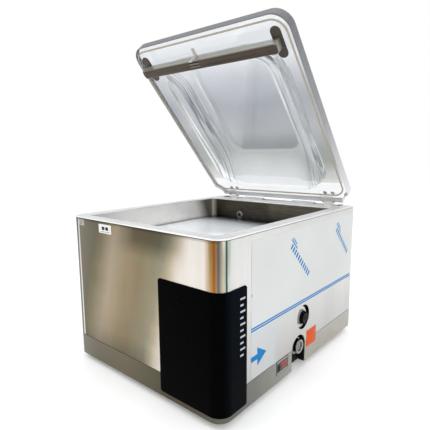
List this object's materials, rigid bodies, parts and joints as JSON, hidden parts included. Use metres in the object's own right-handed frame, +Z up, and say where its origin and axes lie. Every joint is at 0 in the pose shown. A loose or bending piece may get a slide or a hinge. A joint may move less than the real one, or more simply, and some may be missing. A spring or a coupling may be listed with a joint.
{
  "type": "vacuum packing machine",
  "caption": "Table-top chamber vacuum packer: stainless housing with sunk chamber, clear domed hinged lid with counter bar, glossy corner control panel.",
  "frame": {"origin": "middle of the footprint, on the table under the feet", "axes": "+X to the machine's right, +Y to its rear (hinge side), +Z up"},
  "size_m": [0.497, 0.6073, 0.8251],
  "materials": {
    "tray_steel": "brushed stainless, darker base",
    "steel": "brushed stainless",
    "top_steel": "bright brushed stainless",
    "chamber_steel": "satin stainless",
    "seal_black": "black rubber",
    "board_pe": "pale polyethylene",
    "panel_black": "gloss black",
    "pcb": "circuit board",
    "rubber_black": "matt",
    "plastic_black": "matt",
    "rocker_red": "gloss",
    "pump_grey": "painted casting",
    "casing_alu": "die cast",
    "chrome": "polished",
    "oil_glass": "oil sight glass",
    "brass": "turned",
    "motor_blue": "painted",
    "machined": "machined",
    "anodised": "grey anodised",
    "core": "laminated core",
    "steel_dark": "spring steel",
    "ptfe": "coated glass cloth",
    "acrylic": "clear acrylic",
    "gasket": "silicone sponge",
    "silicone": "silicone",
    "clip_brown": "matt",
    "film": "thin film",
    "label_white": "label",
    "label_orange": "label",
    "label_grey": "label",
    "screw": "plated"
  },
  "bodies": {
    "housing": {"base_tray": "tray_steel", "housing_shell": "steel", "rear_panel": "steel", "top_plate": "top_steel", "top_seal": "seal_black", "chamber_tub": "chamber_steel", "filler_plate_1": "board_pe", "filler_plate_2": "board_pe", "filler_plate_3": "board_pe", "vacuum_port": "machined", "valve_block": "machined", "vacuum_hose": "rubber_black", "control_panel": "panel_black", "control_board": "pcb", "foot_front_left": "rubber_black", "foot_front_right": "rubber_black", "foot_rear_left": "rubber_black", "foot_rear_right": "rubber_black", "power_inlet": "plastic_black", "switch_frame": "plastic_black", "pump_block": "pump_grey", "oil_casing": "casing_alu", "sight_glass_ring": "chrome", "sight_glass_lens": "oil_glass", "oil_drain_plug": "brass", "pump_motor": "motor_blue", "fan_cover": "steel_dark", "pump_mounts": "rubber_black", "seal_transformer": "core", "seal_cylinder_left": "anodised", "seal_cylinder_right": "anodised", "hinge_channel": "steel", "hinge_block_left": "machined", "hinge_block_right": "machined", "hinge_shaft": "chrome", "hinge_spring_left": "steel_dark", "hinge_spring_right": "steel_dark", "rear_screws": "screw", "protective_film": "film", "front_label": "label_white", "side_sticker": "label_orange", "band_label": "label_grey"},
    "lid": {"lid_shell": "acrylic", "lid_gasket": "gasket", "counter_bar": "anodised", "silicone_strip": "silicone", "bar_pad_left": "clip_brown", "bar_pad_right": "clip_brown", "hinge_arm_left": "machined", "hinge_arm_right": "machined", "lid_screws": "screw"},
    "sealing_bar": {"seal_bar": "machined", "seal_tape": "ptfe", "seal_rods": "chrome"},
    "rotor": {"motor_rotor": "machined"},
    "rocker": {"switch_rocker": "rocker_red"},
    "oil_cap": {"oil_filler_cap": "plastic_black"}
  },
  "joints": [
    {"name": "lid_hinge", "type": "hinge", "parent": "housing", "child": "lid", "pos_m": [0, 0.286, 0.372], "axis": [1, 0, 0], "range_deg": [0, 48], "stiffness_Nm_per_rad": 14, "springref_deg": -91.67},
    {"name": "seal_lift", "type": "slide", "parent": "housing", "child": "sealing_bar", "axis": [0, 0, 1], "range_m": [0, 0.0095]},
    {"name": "motor_spin", "type": "hinge", "parent": "housing", "child": "rotor", "pos_m": [-0.18, 0, 0.105], "axis": [1, 0, 0], "continuous": true},
    {"name": "switch_rock", "type": "hinge", "parent": "housing", "child": "rocker", "pos_m": [0.175, 0.296, 0.15], "axis": [1, 0, 0], "range_deg": [0, 16]},
    {"name": "oil_cap_turn", "type": "hinge", "parent": "housing", "child": "oil_cap", "pos_m": [0.236, 0.014, 0.133], "axis": [1, 0, 0], "range_deg": [0, 90]}
  ]
}
